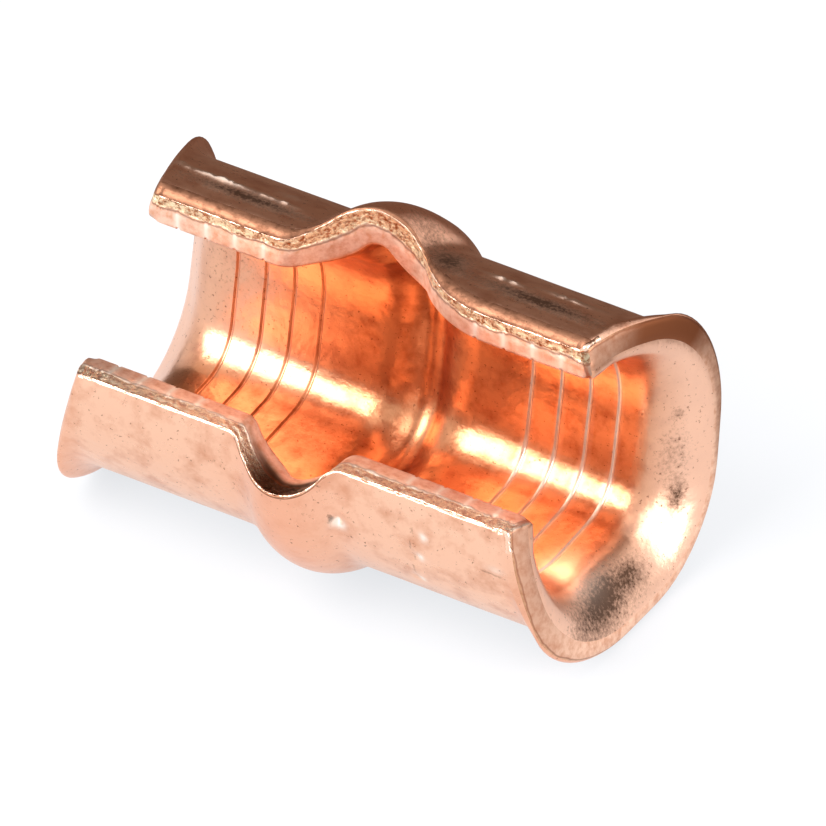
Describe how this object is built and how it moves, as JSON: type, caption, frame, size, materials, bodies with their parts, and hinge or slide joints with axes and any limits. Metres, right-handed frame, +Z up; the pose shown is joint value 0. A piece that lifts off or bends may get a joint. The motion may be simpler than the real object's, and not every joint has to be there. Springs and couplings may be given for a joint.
{
  "type": "compression cable connector",
  "caption": "Open copper barrel rolled from strip, with bell mouths, a raised bead at mid length and grip grooves in the bore, pressed closed round cables to join them.",
  "frame": {"origin": "on the axis of the bore, at mid length", "axes": "+X along the bore, +Z up; the barrel lies on one flank, its opening up and towards -Y"},
  "size_m": [0.0262, 0.0164, 0.0162],
  "materials": {
    "copper": "bare bright copper, as rolled and stamped, with light tarnish and scratches"
  },
  "bodies": {
    "root": {"connector_body": "copper"}
  },
  "joints": []
}
